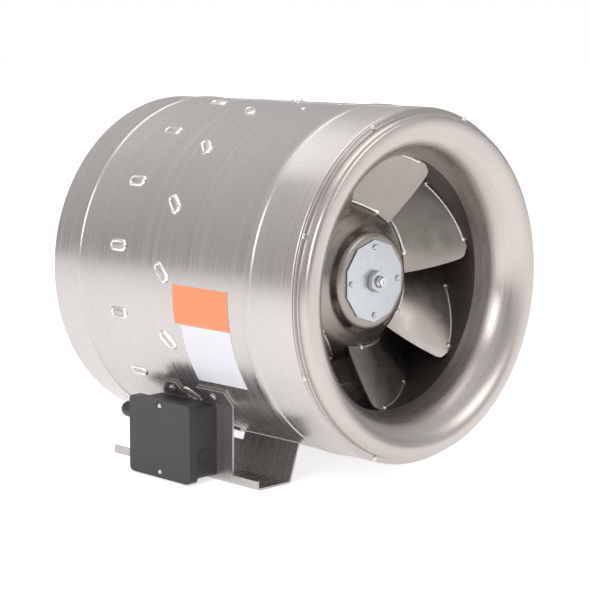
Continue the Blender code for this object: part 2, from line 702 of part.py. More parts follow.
def build_box():
    half_w, half_h = BOX_WIDTH / 2, BOX_HEIGHT / 2
    base = add("terminal_box_base",
               box_mesh((BODY_FRONT_X, BOX_Y - half_w, BOX_Z - half_h),
                        (BOX_BACK_X, BOX_Y + half_w, BOX_Z + half_h), "terminal_box_base", 1.0, 0.005),
               "black_plastic")
    sheet(base, BOX_WALL)
    for post_name, end in (("top_post", 1.0), ("bottom_post", -1.0)):
        wall_z = BOX_Z + end * (half_h - BOX_WALL / 2)
        inner_z = BOX_Z + end * (half_h - LID_SCREW_INSET - POST_HALF)
        post = box_mesh((BODY_FRONT_X + GAP, BOX_Y - POST_HALF, min(wall_z, inner_z)),
                        (BOX_BACK_X - BOX_WALL / 2, BOX_Y + POST_HALF, max(wall_z, inner_z)), post_name)
        cut(base, add_cutter(post_name, post), "UNION")
    cut(base, lid_screw_holes)
    cut(base, gland_holes)
    cut(base, lead_holes)
    lid = add("terminal_box_lid",
              box_mesh((BOX_FRONT_X, BOX_Y - half_w - LID_OVER, BOX_Z - half_h - LID_OVER),
                       (LID_BACK_X, BOX_Y + half_w + LID_OVER, BOX_Z + half_h + LID_OVER),
                       "terminal_box_lid", -1.0, 0.006), "black_plastic")
    sheet(lid, LID_T)
    cut(lid, lid_screw_holes)
    cut(lid, lid_recesses)
    gasket = add("lid_gasket",
                 box_mesh((BODY_FRONT_X - GAP - GASKET_T, BOX_Y - half_w, BOX_Z - half_h),
                          (BODY_FRONT_X - GAP, BOX_Y + half_w, BOX_Z + half_h), "lid_gasket", edge=0.005),
                 "black_rubber")
    window = box_mesh((BODY_FRONT_X - 0.01, BOX_Y - half_w + 0.0035, BOX_Z - half_h + 0.0110),
                      (BODY_FRONT_X + 0.01, BOX_Y + half_w - 0.0035, BOX_Z + half_h - 0.0110), "gasket_window")
    cut(gasket, add_cutter("gasket_window", window))
    cut(gasket, lid_screw_holes)
    for name, place in zip(("lid_screw_top", "lid_screw_bottom"), lid_screw_places()):
        screw_along(name, place + Vector((LID_RECESS, 0.0, 0.0)), (1, 0, 0), LID_SCREW_LENGTH, "galvanised",
                    fan_axis)


def side_fitting(name, seat, radius, bore_r, length, finish):
    """A gland or plug on the box's rear side: thread through the wall, hexagon-sized collar and round nose."""
    thread_r = radius * 0.78
    inside = BOX_WALL + 0.006
    profile = [(bore_r, length), (radius * 0.72, length), (radius * 0.95, length - 0.004),
               (radius, length - 0.009), (radius, 0.008), (radius * 1.12, 0.0075), (radius * 1.12, GAP),
               (thread_r, GAP), (thread_r, -inside), (bore_r, -inside)]
    mesh = bpy.data.meshes.new(name)
    edges = [(i, i + 1) for i in range(len(profile) - 1)]
    if bore_r:
        edges.append((len(profile) - 1, 0))
    mesh.from_pydata([(r, 0.0, z) for r, z in profile], edges, [])
    fitting = add(name, mesh, finish)
    fitting.location = seat
    fitting.rotation_euler = (-math.pi / 2, 0.0, 0.0)
    screw = fitting.modifiers.new("turn", "SCREW")
    screw.steps = 16
    screw.render_steps = 16
    screw.use_merge_vertices = True
    screw.merge_threshold = 0.00001


FITTING_X = (BOX_BACK_X + LID_BACK_X) / 2
GLAND_SEAT = Vector((FITTING_X, BOX_Y + BOX_WIDTH / 2, BOX_Z + 0.0180))
PLUG_SEAT = Vector((FITTING_X, BOX_Y + BOX_WIDTH / 2, BOX_Z - 0.0120))


def build_box_contents():
    side_fitting("cable_gland", GLAND_SEAT, GLAND_R, GLAND_BORE_R, GLAND_LENGTH, "black_plastic")
    side_fitting("blanking_plug", PLUG_SEAT, PLUG_R, 0.0, PLUG_LENGTH, "grey_plastic")
    floor_x = BOX_BACK_X - BOX_WALL - GAP
    block_mesh = box_mesh((floor_x - 0.014, BOX_Y - 0.040, BOX_Z - 0.024),
                          (floor_x, BOX_Y - 0.026, BOX_Z + 0.024), "terminal_block")
    block = add("terminal_block", block_mesh, "white_plastic")
    wells = bmesh.new()
    for step in range(4):
        z = BOX_Z - 0.018 + 0.012 * step
        rod_mesh(wells, 0.0028, (floor_x - 0.020, BOX_Y - 0.033, z), (floor_x - 0.006, BOX_Y - 0.033, z), 12)
    cut(block, add_cutter("terminal_wells", mesh_of(wells, "terminal_wells")))
    bm = bmesh.new()
    x = floor_x - CAPACITOR_R
    z = BOX_Z - 0.021
    rod_mesh(bm, CAPACITOR_R, (x, BOX_Y - 0.017, z), (x, BOX_Y + 0.030, z), 24)
    add("run_capacitor", mesh_of(bm, "run_capacitor"), "grey_plastic")


# ---- holes that several pieces share ----
def build_holes():
    """Cutters for the plate screws, lid screws, glands, foot screws and the motor lead."""
    holes = bmesh.new()
    for place in plate_screw_places():
        rod_mesh(holes, SCREW_R + HOLE_CLEAR, place + Vector((0.0, PLATE_FACE_Y - 0.003, 0.0)),
                 place + Vector((0.0, PLATE_FACE_Y + 0.013, 0.0)), 12)
    plate = add_cutter("plate_screw_holes", mesh_of(holes, "plate_screw_holes"))
    holes = bmesh.new()
    recesses = bmesh.new()
    for place in lid_screw_places():
        seat = place + Vector((LID_RECESS, 0.0, 0.0))
        rod_mesh(holes, SCREW_R + HOLE_CLEAR, place - Vector((0.004, 0.0, 0.0)),
                 seat + Vector((LID_SCREW_LENGTH + 0.002, 0.0, 0.0)), 12)
        rod_mesh(recesses, SCREW_HEAD_R + 0.0005, place - Vector((0.004, 0.0, 0.0)), seat, 16)
    lid = add_cutter("lid_screw_holes", mesh_of(holes, "lid_screw_holes"))
    recess = add_cutter("lid_screw_recesses", mesh_of(recesses, "lid_screw_recesses"))
    holes = bmesh.new()
    for seat, radius in ((GLAND_SEAT, GLAND_R), (PLUG_SEAT, PLUG_R)):
        rod_mesh(holes, radius * 0.78 + HOLE_CLEAR, seat - Vector((0.0, BOX_WALL + 0.003, 0.0)),
                 seat + Vector((0.0, 0.003, 0.0)), 24)
    gland = add_cutter("gland_holes", mesh_of(holes, "gland_holes"))
    holes = bmesh.new()
    for _, seat, inward in foot_screw_places():
        rod_mesh(holes, 0.0024 + HOLE_CLEAR, seat - inward * 0.004, seat + inward * 0.014, 12)
    foot = add_cutter("foot_screw_holes", mesh_of(holes, "foot_screw_holes"))
    holes = bmesh.new()
    rod_mesh(holes, LEAD_R + 2 * HOLE_CLEAR, around(LEAD_ANGLE, LEAD_INNER_R - 0.004, LEAD_Y),
             around(LEAD_ANGLE, LEAD_OUTER_R - 0.002, LEAD_Y), 16)
    lead = add_cutter("lead_holes", mesh_of(holes, "lead_holes"))
    return plate, lid, recess, gland, foot, lead


def build_motor_lead():
    bm = bmesh.new()
    rod_mesh(bm, LEAD_R, around(LEAD_ANGLE, LEAD_INNER_R, LEAD_Y), around(LEAD_ANGLE, LEAD_OUTER_R, LEAD_Y), 12)
    add("motor_lead", mesh_of(bm, "motor_lead"), "black_rubber")


plate_holes, lid_screw_holes, lid_recesses, gland_holes, foot_holes, lead_holes = build_holes()
build_casing()
turned("inlet_bell", bell_profile(), "steel", wall=BELL_WALL)
for vane_number in range(VANE_COUNT):
    build_vane(vane_number)
build_housing()
build_motor()
build_impeller()
build_cover_plate()
build_hub_fasteners()
for foot_name, foot_side in FOOT_SIDES.items():
    build_foot(foot_name, foot_side)
build_foot_screws()
build_box()
build_box_contents()
build_motor_lead()
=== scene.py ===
"""Inline duct fan: smooth casing, bell mouth, impeller, welds, labels and finishes on the packed frame."""
import math

import bmesh
import bpy
from bpy.props import FloatProperty, FloatVectorProperty, PointerProperty
from mathutils import Matrix, Vector


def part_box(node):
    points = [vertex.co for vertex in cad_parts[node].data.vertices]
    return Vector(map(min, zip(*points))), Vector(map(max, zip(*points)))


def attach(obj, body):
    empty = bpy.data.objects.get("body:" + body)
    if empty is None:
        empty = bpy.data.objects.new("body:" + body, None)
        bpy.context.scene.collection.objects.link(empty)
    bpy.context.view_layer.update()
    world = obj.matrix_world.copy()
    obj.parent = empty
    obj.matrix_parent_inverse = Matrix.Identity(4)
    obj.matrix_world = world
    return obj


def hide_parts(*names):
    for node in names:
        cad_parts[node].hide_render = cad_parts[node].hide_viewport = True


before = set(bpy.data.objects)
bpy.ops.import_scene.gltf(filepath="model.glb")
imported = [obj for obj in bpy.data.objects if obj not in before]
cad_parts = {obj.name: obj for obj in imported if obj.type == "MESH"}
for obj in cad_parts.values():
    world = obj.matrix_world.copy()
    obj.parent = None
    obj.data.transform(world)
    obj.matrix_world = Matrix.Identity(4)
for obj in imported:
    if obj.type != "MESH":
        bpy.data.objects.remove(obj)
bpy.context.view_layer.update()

bl_info = {
    "name": "Inline Duct Fan",
    "version": (1, 0, 0),
    "blender": (4, 5, 0),
    "location": "3D View > Sidebar > Duct Fan",
    "description": "Builds the visible pieces and finishes of an inline mixed-flow duct fan",
    "category": "Object",
}

CASING = "casing"
ROTOR = "rotor"
SHAFT_LOW, SHAFT_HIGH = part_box("motor_shaft")
CASING_LOW, CASING_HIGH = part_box("casing_shell")
AXIS_X = (SHAFT_LOW[0] + SHAFT_HIGH[0]) / 2
AXIS_Z = (SHAFT_LOW[2] + SHAFT_HIGH[2]) / 2
MIDDLE_Y = (CASING_LOW[1] + CASING_HIGH[1]) / 2
CENTRE = Vector((AXIS_X, MIDDLE_Y, AXIS_Z))
FULL_TURN = 2 * math.pi


# ---- what a user can change ----
def length(name, description, default):
    return FloatProperty(name=name, description=description, default=default, unit="LENGTH", subtype="DISTANCE")


def colour(name, description, default):
    return FloatVectorProperty(name=name, description=description, default=default, size=3, min=0, max=1,
                               subtype="COLOR")


class FanSizes(bpy.types.PropertyGroup):
    wall: length("Sheet", "Thickness of the casing and bell sheet", 0.0015)
    bead_height: length("Bead height", "How far the rolled beads stand out of the casing", 0.0012)
    blade_sheet: length("Blade sheet", "Thickness of an impeller blade", 0.0018)
    weld_height: length("Weld height", "How far a plug weld stands out of the casing", 0.0017)
    weld_bead: length("Weld bead", "Radius of the bead along a blade's edge", 0.0013)
    rivet: length("Rivet", "Radius of the rivets in the mouth's ring", 0.0034)


class FanColours(bpy.types.PropertyGroup):
    sheet: colour("Sheet steel", "Rolled steel of the casing and feet", (0.500, 0.475, 0.462))
    mouth: colour("Spun mouth", "Spun steel of the bell mouth", (0.485, 0.445, 0.420))
    impeller: colour("Impeller", "Pressed steel of the blades and hub", (0.300, 0.272, 0.246))
    zinc: colour("Zinc plate", "Cover plate, nut and screws", (0.520, 0.545, 0.575))
    # Weld colour: bare weld metal, lightened as a painted highlight so the rounded weld rims look bright
    weld: colour("Weld", "Bare weld metal", (0.780, 0.750, 0.730))
    box: colour("Terminal box", "Moulded terminal box", (0.034, 0.032, 0.033))
    orange: colour("Orange label", "Blank orange sticker", (1.000, 0.305, 0.150))
    white: colour("White label", "Blank white sticker", (0.860, 0.865, 0.900))


# ---- finishes ----
def group_sockets(tree, inputs, outputs):
    for name, default in inputs:
        tree.interface.new_socket(name, in_out="INPUT", socket_type="NodeSocketFloat").default_value = default
    for name in outputs:
        tree.interface.new_socket(name, in_out="OUTPUT", socket_type="NodeSocketFloat")


def sheet_grain_group():
    """Grain along the rolling direction, mottle and fine handling marks of a steel sheet."""
    tree = bpy.data.node_groups.new("Sheet grain", "ShaderNodeTree")
    group_sockets(tree, (("Across", 6.0), ("Along", 260.0), ("Mottle", 9.0)), ("Grain", "Mottle", "Marks"))
    nodes, links = tree.nodes, tree.links
    given, result = nodes.new("NodeGroupInput"), nodes.new("NodeGroupOutput")
    place = nodes.new("ShaderNodeTexCoord")
    scale = nodes.new("ShaderNodeCombineXYZ")
    links.new(given.outputs["Across"], scale.inputs["X"])
    links.new(given.outputs["Along"], scale.inputs["Y"])
    links.new(given.outputs["Across"], scale.inputs["Z"])
    stretch = nodes.new("ShaderNodeVectorMath")
    stretch.operation = "MULTIPLY"
    links.new(place.outputs["Object"], stretch.inputs[0])
    links.new(scale.outputs[0], stretch.inputs[1])
    grain = nodes.new("ShaderNodeTexNoise")
    grain.inputs["Scale"].default_value = 1.0
    grain.inputs["Detail"].default_value = 3.0
    links.new(stretch.outputs[0], grain.inputs["Vector"])
    mottle = nodes.new("ShaderNodeTexNoise")
    mottle.inputs["Detail"].default_value = 2.0
    links.new(place.outputs["Object"], mottle.inputs["Vector"])
    links.new(given.outputs["Mottle"], mottle.inputs["Scale"])
    marks = nodes.new("ShaderNodeTexNoise")
    marks.inputs["Scale"].default_value = 55.0
    marks.inputs["Detail"].default_value = 5.0
    marks.inputs["Roughness"].default_value = 0.7
    links.new(place.outputs["Object"], marks.inputs["Vector"])
    for output, source in (("Grain", grain), ("Mottle", mottle), ("Marks", marks)):
        links.new(source.outputs["Fac"], result.inputs[output])
    return tree


def metal(name, rgb, roughness, metallic=0.85, grain=(6.0, 260.0), bump=0.04, spread=0.10, marks=0.02):
    """A satin metal whose colour, roughness and height vary with the sheet's grain."""
    mat = bpy.data.materials.new(name)
    mat.use_nodes = True
    nodes, links = mat.node_tree.nodes, mat.node_tree.links
    shader = nodes["Principled BSDF"]
    shader.inputs["Metallic"].default_value = metallic
    sheet = nodes.new("ShaderNodeGroup")
    sheet.node_tree = bpy.data.node_groups["Sheet grain"]
    sheet.inputs["Across"].default_value, sheet.inputs["Along"].default_value = grain
    tint = nodes.new("ShaderNodeMix")
    tint.data_type = "RGBA"
    tint.inputs["A"].default_value = (*[c * (1 - spread) for c in rgb], 1.0)
    tint.inputs["B"].default_value = (*[min(1.0, c * (1 + spread)) for c in rgb], 1.0)
    cloudy = nodes.new("ShaderNodeMath")
    cloudy.operation = "MULTIPLY_ADD"
    cloudy.inputs[1].default_value = 1.3
    links.new(sheet.outputs["Grain"], cloudy.inputs[0])
    shift = nodes.new("ShaderNodeMath")
    shift.operation = "MULTIPLY_ADD"
    shift.inputs[1].default_value = 1.2
    shift.inputs[2].default_value = -0.75
    links.new(sheet.outputs["Mottle"], shift.inputs[0])
    links.new(shift.outputs[0], cloudy.inputs[2])
    links.new(cloudy.outputs[0], tint.inputs["Factor"])
    links.new(tint.outputs["Result"], shader.inputs["Base Color"])
    rough = nodes.new("ShaderNodeMapRange")
    rough.inputs["From Min"].default_value = 0.3
    rough.inputs["From Max"].default_value = 0.7
    rough.inputs["To Min"].default_value = roughness - marks
    rough.inputs["To Max"].default_value = roughness + marks
    links.new(sheet.outputs["Grain"], rough.inputs["Value"])
    links.new(rough.outputs["Result"], shader.inputs["Roughness"])
    relief = nodes.new("ShaderNodeBump")
    relief.inputs["Strength"].default_value = bump
    relief.inputs["Distance"].default_value = 0.001
    links.new(sheet.outputs["Grain"], relief.inputs["Height"])
    links.new(relief.outputs["Normal"], shader.inputs["Normal"])
    return mat


def moulded(name, rgb, roughness, scale=900.0, bump=0.12, spread=0.12):
    """Moulded plastic, rubber or paper: fine pitted grain and slight unevenness."""
    mat = bpy.data.materials.new(name)
    mat.use_nodes = True
    nodes, links = mat.node_tree.nodes, mat.node_tree.links
    shader = nodes["Principled BSDF"]
    shader.inputs["Roughness"].default_value = roughness
    place = nodes.new("ShaderNodeTexCoord")
    pits = nodes.new("ShaderNodeTexNoise")
    pits.inputs["Scale"].default_value = scale
    cloud = nodes.new("ShaderNodeTexNoise")
    cloud.inputs["Scale"].default_value = 14.0
    links.new(place.outputs["Object"], pits.inputs["Vector"])
    links.new(place.outputs["Object"], cloud.inputs["Vector"])
    tint = nodes.new("ShaderNodeMix")
    tint.data_type = "RGBA"
    tint.inputs["A"].default_value = (*[c * (1 - spread) for c in rgb], 1.0)
    tint.inputs["B"].default_value = (*[min(1.0, c * (1 + spread)) for c in rgb], 1.0)
    links.new(cloud.outputs["Fac"], tint.inputs["Factor"])
    links.new(tint.outputs["Result"], shader.inputs["Base Color"])
    relief = nodes.new("ShaderNodeBump")
    relief.inputs["Strength"].default_value = bump
    relief.inputs["Distance"].default_value = 0.0003
    links.new(pits.outputs["Fac"], relief.inputs["Height"])
    links.new(relief.outputs["Normal"], shader.inputs["Normal"])
    return mat


def finish(name):
    """One of the fan's finishes, made the first time that it is asked for."""
    found = bpy.data.materials.get(name)
    if found:
        return found
    if "Sheet grain" not in bpy.data.node_groups:
        sheet_grain_group()
    c = bpy.context.scene.fan_colours
    makers = {
        "Sheet steel": lambda: metal(name, c.sheet, 0.27, grain=(2.5, 420.0), bump=0.012, spread=0.05, marks=0.07),
        "Spun steel": lambda: metal(name, c.mouth, 0.29, grain=(3.0, 300.0), bump=0.006, spread=0.08, marks=0.05),
        "Pressed steel": lambda: metal(name, c.impeller, 0.30, grain=(60.0, 8.0), bump=0.01, spread=0.14, marks=0.06),
        # Shade-darkened steel: the impeller colour at 0.55 for the shroud, painted shade of the fan's deep interior
        "Shade-darkened steel": lambda: metal(name, [v * 0.55 for v in c.impeller], 0.40, grain=(60.0, 8.0), bump=0.01),
        "Zinc plate": lambda: metal(name, c.zinc, 0.34, grain=(120.0, 120.0), bump=0.03),
        # Weld metal and highlight: the lightened weld colour, bare metal with a painted highlight; the dull weld
        # centres take a darker copy of it
        "Weld metal and highlight": lambda: metal(name, c.weld, 0.30, grain=(500.0, 500.0), bump=0.25, spread=0.22),
        "Dull weld": lambda: metal(name, [v * 0.62 for v in c.weld], 0.50, grain=(500.0, 500.0), bump=0.3),
        "Ground steel": lambda: metal(name, (0.62, 0.62, 0.61), 0.22, 1.0, grain=(30.0, 900.0)),
        "Winding": lambda: metal(name, (0.40, 0.17, 0.07), 0.45, 0.5, grain=(900.0, 60.0), bump=0.3),
        "Cast alloy": lambda: metal(name, (0.40, 0.41, 0.42), 0.50, 0.8, grain=(300.0, 300.0), bump=0.2),
        "Black moulding": lambda: moulded(name, c.box, 0.42),
        "Grey moulding": lambda: moulded(name, (0.30, 0.31, 0.32), 0.5),
        "White moulding": lambda: moulded(name, (0.74, 0.73, 0.69), 0.45),
        "Black rubber": lambda: moulded(name, (0.018, 0.018, 0.018), 0.75, 500.0),
        "Orange label": lambda: moulded(name, c.orange, 0.45, 300.0, 0.03, 0.03),
        "White label": lambda: moulded(name, c.white, 0.45, 300.0, 0.03, 0.02),
    }
    return makers[name]()


# ---- shaping ----
def around(angle, radius, y):
    """A point from radians round the fan's axis, a radius and a place along it."""
    return CENTRE + Vector((radius * math.cos(angle), y, radius * math.sin(angle)))


def piece(name, bm, finish_name, body, replaces=(), smooth=35, outward=True):
    """A finished piece from a bmesh, riding on a body and standing for CAD nodes."""
    if outward:
        bmesh.ops.recalc_face_normals(bm, faces=bm.faces)
    mesh = bpy.data.meshes.new(name)
    bm.to_mesh(mesh)
    bm.free()
    mesh.shade_smooth()
    mesh.set_sharp_from_angle(angle=math.radians(smooth))
    mesh.materials.append(finish(finish_name))
    obj = bpy.data.objects.new(name, mesh)
    bpy.context.scene.collection.objects.link(obj)
    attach(obj, body)
    if replaces:
        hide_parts(*replaces)
    return obj


def walled(points, wall):
    """A closed loop round a sheet: the given side, then its other side a wall's thickness behind."""
    sides = []
    for i, point in enumerate(points):
        before = Vector(points[max(i - 1, 0)])
        after = Vector(points[min(i + 1, len(points) - 1)])
        here = Vector(point)
        steps = [step.normalized() for step in (here - before, after - here) if step.length > 1e-9]
        along = sum(steps, Vector((0, 0))).normalized()
        back = Vector((-along.y, along.x))
        reach = wall / max(0.5, along.dot(steps[0]))
        sides.append(tuple(here + back * reach))
    return list(points) + sides[::-1]


def arc(centre, radius, start, end, count):
    turns = [math.radians(start + (end - start) * i / count) for i in range(count + 1)]
    return [(centre[0] + radius * math.cos(t), centre[1] + radius * math.sin(t)) for t in turns]


def spun(loop, steps=180):
    """Spin a closed loop of (radius, y) points about the fan's axis."""
    bm = bmesh.new()
    verts = [bm.verts.new(around(0.0, radius, y)) for radius, y in loop]
    edges = [bm.edges.new((verts[i - 1], verts[i])) for i in range(len(verts))]
    bmesh.ops.spin(bm, geom=verts + edges, cent=CENTRE, axis=(0, 1, 0), dvec=(0, 0, 0), angle=FULL_TURN,
                   steps=steps, use_merge=True, use_duplicate=False)
    bmesh.ops.remove_doubles(bm, verts=bm.verts, dist=1e-6)
    return bm


def smooth_bead(middle, half, slope, radius, height):
    """A rolled bead with soft shoulders, as points along the casing."""
    points = []
    for side in (-1, 1):
        for i in range(7):
            part = i / 6 if side < 0 else 1 - i / 6
            y = middle + side * (half + slope * (1 - part))
            points.append((radius + height * (0.5 - 0.5 * math.cos(math.pi * part)), y))
    return points


def join(into, other):
    """Add one bmesh's geometry to another and free it."""
    mesh = bpy.data.meshes.new("joined")
    other.to_mesh(mesh)
    other.free()
    into.from_mesh(mesh)
    bpy.data.meshes.remove(mesh)


def tube(name, points, radius, finish_name, body, closed=False):
    """A round bead along a line of points."""
    curve = bpy.data.curves.new(name, "CURVE")
    curve.dimensions = "3D"
    curve.bevel_depth = radius
    curve.bevel_resolution = 2
    curve.use_fill_caps = True
    for line in points:
        spline = curve.splines.new("POLY")
        spline.points.add(len(line) - 1)
        for i, (point, scale) in enumerate(line):
            spline.points[i].co = (*point, 1.0)
            spline.points[i].radius = scale
        spline.use_cyclic_u = closed
        spline.use_smooth = True
    curve.materials.append(finish(finish_name))
    obj = bpy.data.objects.new(name, curve)
    bpy.context.scene.collection.objects.link(obj)
    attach(obj, body)
    return obj


def operator(name, label, text, work):
    """An operator class that runs one piece's maker."""
    def execute(self, context):
        work(context.scene.fan_sizes)
        return {"FINISHED"}
    return type(name, (bpy.types.Operator,), {"bl_idname": f"duct_fan.{label.lower().replace(' ', '_')}",
                                              "bl_label": label, "__doc__": text, "execute": execute})


# ---- casing and mouth ----
CASING_R = 0.200
HALF_LENGTH = 0.200
LIP_R = 0.193
CREST_Y = -0.2154


def make_casing(sizes):
    """Rolled casing with its beads and turned-in rim."""
    corner = arc((CASING_R - 0.0024, -HALF_LENGTH + 0.0024), 0.0024, -90, 0, 6)
    points = [(CASING_R - 0.012, -HALF_LENGTH)] + corner
    points += smooth_bead(-0.132, 0.0046, 0.0022, CASING_R, sizes.bead_height)
    points += smooth_bead(0.154, 0.0012, 0.0024, CASING_R, sizes.bead_height)
    points += [(CASING_R, HALF_LENGTH)]
    piece("casing_sheet", spun(walled(points, sizes.wall)), "Sheet steel", CASING, ("casing_shell",))


def mouth_profile():
    points = []
    start_r, throat_r, throat_y = 0.1835, 0.1445, -0.162
    for i in range(25):
        turn = math.pi / 2 * (1 - i / 24)
        points.append((start_r - (start_r - throat_r) * math.sin(turn),
                       CREST_Y + (throat_y - CREST_Y) * (1 - math.cos(turn))))
    points += arc((LIP_R - 0.0055, CREST_Y + 0.0055), 0.0055, -90, 0, 8)
    points += arc((LIP_R + 0.0012, -0.2018 - 0.0012), 0.0012, 180, 90, 4)
    points += arc((CASING_R - 0.0018, -0.2018 + 0.0008), 0.0008, -90, 0, 3)
    return points


def make_mouth(sizes):
    """Spun bell mouth and its riveted ring."""
    piece("mouth_sheet", spun(walled(mouth_profile(), sizes.wall)), "Spun steel", CASING, ("inlet_bell",), smooth=50)
    rivets = bmesh.new()
    for number in range(8):
        angle = math.radians(23.7 + 45 * number)
        seat = around(angle, 0.1964, -0.2019)
        dome = bmesh.new()
        bmesh.ops.create_cone(dome, cap_ends=True, segments=20, radius1=sizes.rivet, radius2=sizes.rivet * 0.93,
                              depth=0.0010)
        top = [f for f in dome.faces if f.normal.z > 0.9]
        for thickness, depth in ((sizes.rivet * 0.20, 0.0005), (sizes.rivet * 0.30, 0.0003), (sizes.rivet * 0.15, -0.0002)):
            bmesh.ops.inset_region(dome, faces=top, thickness=thickness, depth=depth)
        bmesh.ops.transform(dome, verts=dome.verts,
                            matrix=Matrix.Translation(seat) @ Matrix.Rotation(math.pi / 2, 4, "X"))
        join(rivets, dome)
    piece("ring_rivets", rivets, "Ground steel", CASING, smooth=50)


# ---- impeller ----
HUB_FACE_Y = -0.1317
HUB_FLARE = [(0.0605, -0.1200), (0.0690, -0.1140), (0.0782, -0.1080), (0.0866, -0.1000), (0.0950, -0.0870),
             (0.1010, -0.0680), (0.1040, -0.0300)]
SHROUD = [(0.1860, -0.0300), (0.1735, -0.0590), (0.1610, -0.0880), (0.1532, -0.1140), (0.1485, -0.1480),
          (0.1485, -0.1655)]


def eased(points, parts=6):
    """A smooth line through points."""
    line = []
    for i in range(len(points) - 1):
        a, b = Vector(points[max(i - 1, 0)]), Vector(points[i])
        c, d = Vector(points[i + 1]), Vector(points[min(i + 2, len(points) - 1)])
        for step in range(parts):
            t = step / parts
            line.append(tuple(0.5 * (2 * b + (c - a) * t + (2 * a - 5 * b + 4 * c - d) * t * t
                                     + (3 * b - a - 3 * c + d) * t ** 3)))
    return line + [tuple(points[-1])]


def radius_on(line, y):
    ordered = sorted((p[1], p[0]) for p in line)
    for (y0, r0), (y1, r1) in zip(ordered, ordered[1:]):
        if y <= y1:
            return r0 + (r1 - r0) * max(0.0, y - y0) / max(1e-9, y1 - y0)
    return ordered[-1][1]


def make_hub(sizes):
    """Pressed hub and the shroud round the blades."""
    shoulder = arc((0.050, HUB_FACE_Y + 0.0085), 0.0085, -90, -25, 8)
    front = [(0.0068, HUB_FACE_Y), (0.030, HUB_FACE_Y)] + shoulder
    piece("hub_pressing", spun(walled(front + eased([shoulder[-1]] + HUB_FLARE)[1:], 0.0020)), "Pressed steel",
          ROTOR, ("impeller_hub",), smooth=50)
    # The shroud takes the darker copy of the impeller steel as painted shade
    piece("shroud_pressing", spun(walled(eased(SHROUD), 0.0015)), "Shade-darkened steel", ROTOR, ("impeller_shroud",),
          smooth=50)


def blade_place(turn, chord, span, inset=0.0):
    """A point on a blade's middle surface, with chord from the leading edge and span from the root."""
    root_y = -0.108 + 0.075 * chord ** 3.0
    tip_y = -0.149 + 0.116 * chord ** 1.62
    root_r = radius_on(HUB_FLARE, root_y) + 0.0004
    tip_r = radius_on(SHROUD, tip_y) - 0.0004
    radius = root_r + (tip_r - root_r) * span
    angle = (75.0 * chord) * (1 - span) + (7.0 + 72.0 * chord) * span
    return around(math.radians(turn + angle), radius, root_y + (tip_y - root_y) * span + inset)


def make_blades(sizes):
    """Swept blades with their weld beads on hub and shroud."""
    tips, roots, blobs = [], [], bmesh.new()
    for number in range(7):
        turn = number * 360 / 7
        bm = bmesh.new()
        bmesh.ops.create_grid(bm, x_segments=40, y_segments=16, size=0.5)
        for vert in bm.verts:
            chord, span = vert.co.x + 0.5, vert.co.y + 0.5
            corner = max(0.0, (span - 0.86) / 0.14)
            chord += (1 - chord) ** 6 * 0.06 * (1 - math.sqrt(max(0.0, 1 - corner * corner)))
            vert.co = blade_place(turn, chord, span)
        bmesh.ops.recalc_face_normals(bm, faces=bm.faces)
        bmesh.ops.solidify(bm, geom=bm.faces[:], thickness=sizes.blade_sheet)
        name = f"impeller_blade_{number + 1}"
        piece(f"blade_{number + 1}", bm, "Pressed steel", ROTOR, (name,), outward=False)
        for lines, span, shift, first, last in ((tips, 0.972, 1.0, 0.11, 0.50), (tips, 0.972, -1.6, 0.11, 0.50),
                                                (roots, 0.03, 3.4, 0.22, 0.62), (roots, 0.03, -2.6, 0.22, 0.62)):
            line = []
            for i in range(49):
                part = i / 48
                chord = first + (last - first) * part
                pinch = math.sqrt(max(0.0, 1 - abs(2 * part - 1) ** 14))
                swell = (1.0 + 0.14 * math.sin(i * 2.4)) * (1.0 + 0.9 * (1 - pinch))
                line.append((blade_place(turn + shift * pinch, chord, span), swell))
            lines.append(line)
        for chord, span in ((0.11, 0.985), (0.50, 0.985), (0.22, 0.02), (0.62, 0.02)):
            seat = blade_place(turn, chord, span)
            lump = bmesh.new()
            bmesh.ops.create_icosphere(lump, subdivisions=3, radius=sizes.weld_bead * 2.6)
            bmesh.ops.translate(lump, verts=lump.verts, vec=seat)
            join(blobs, lump)
    tube("tip_welds", tips, sizes.weld_bead * 1.25, "Weld metal and highlight", ROTOR)
    tube("root_welds", roots, sizes.weld_bead * 1.3, "Weld metal and highlight", ROTOR)
    piece("weld_ends", blobs, "Weld metal and highlight", ROTOR, smooth=60)


# ---- welds and labels on the casing ----
def vane_turn(y):
    ahead = max(0.0, 0.0594 - y) / CASING_R
    return math.radians(11.4) + 1.744 * ahead * ahead


